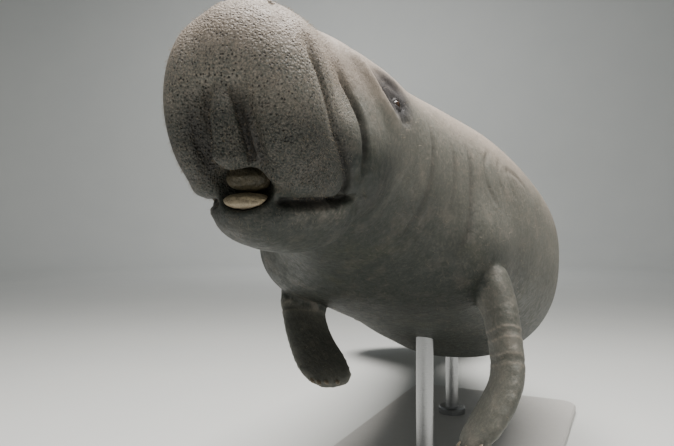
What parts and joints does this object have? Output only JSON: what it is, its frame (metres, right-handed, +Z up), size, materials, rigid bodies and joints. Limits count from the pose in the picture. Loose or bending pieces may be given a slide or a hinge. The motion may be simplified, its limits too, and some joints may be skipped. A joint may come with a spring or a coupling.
{
  "type": "manatee model",
  "caption": "Life-size model of an adult manatee, swimming with its head raised, on a plain flat stand with rods.",
  "frame": {"origin": "under the middle of the whole model, on the floor it stands on", "axes": "+Z up, the animal faces -Y, and its left side is towards +X"},
  "size_m": [1.1292, 2.7016, 0.9647],
  "materials": {
    "skin": "satin",
    "eye": "gloss",
    "palate": "satin",
    "gum": "satin",
    "nail": "satin",
    "stand_paint": "satin",
    "stand_steel": "satin"
  },
  "bodies": {
    "root": {"belly": "skin", "chest": "skin", "eye_left": "eye", "eye_right": "eye", "flipper_left_arm": "skin", "flipper_left_hand": "skin", "flipper_right_arm": "skin", "flipper_right_hand": "skin", "head": "skin", "jaw_pad": "gum", "loin": "skin", "lower_jaw": "skin", "nail_left_1": "nail", "nail_left_2": "nail", "nail_left_3": "nail", "nail_left_4": "nail", "nail_right_1": "nail", "nail_right_2": "nail", "nail_right_3": "nail", "nail_right_4": "nail", "neck": "skin", "palate_pad": "palate", "snout": "skin", "stand_base": "stand_paint", "stand_collar_front": "stand_steel", "stand_collar_rear": "stand_steel", "stand_rod_front": "stand_steel", "stand_rod_rear": "stand_steel", "tail_paddle": "skin", "tail_stock": "skin"}
  },
  "joints": []
}
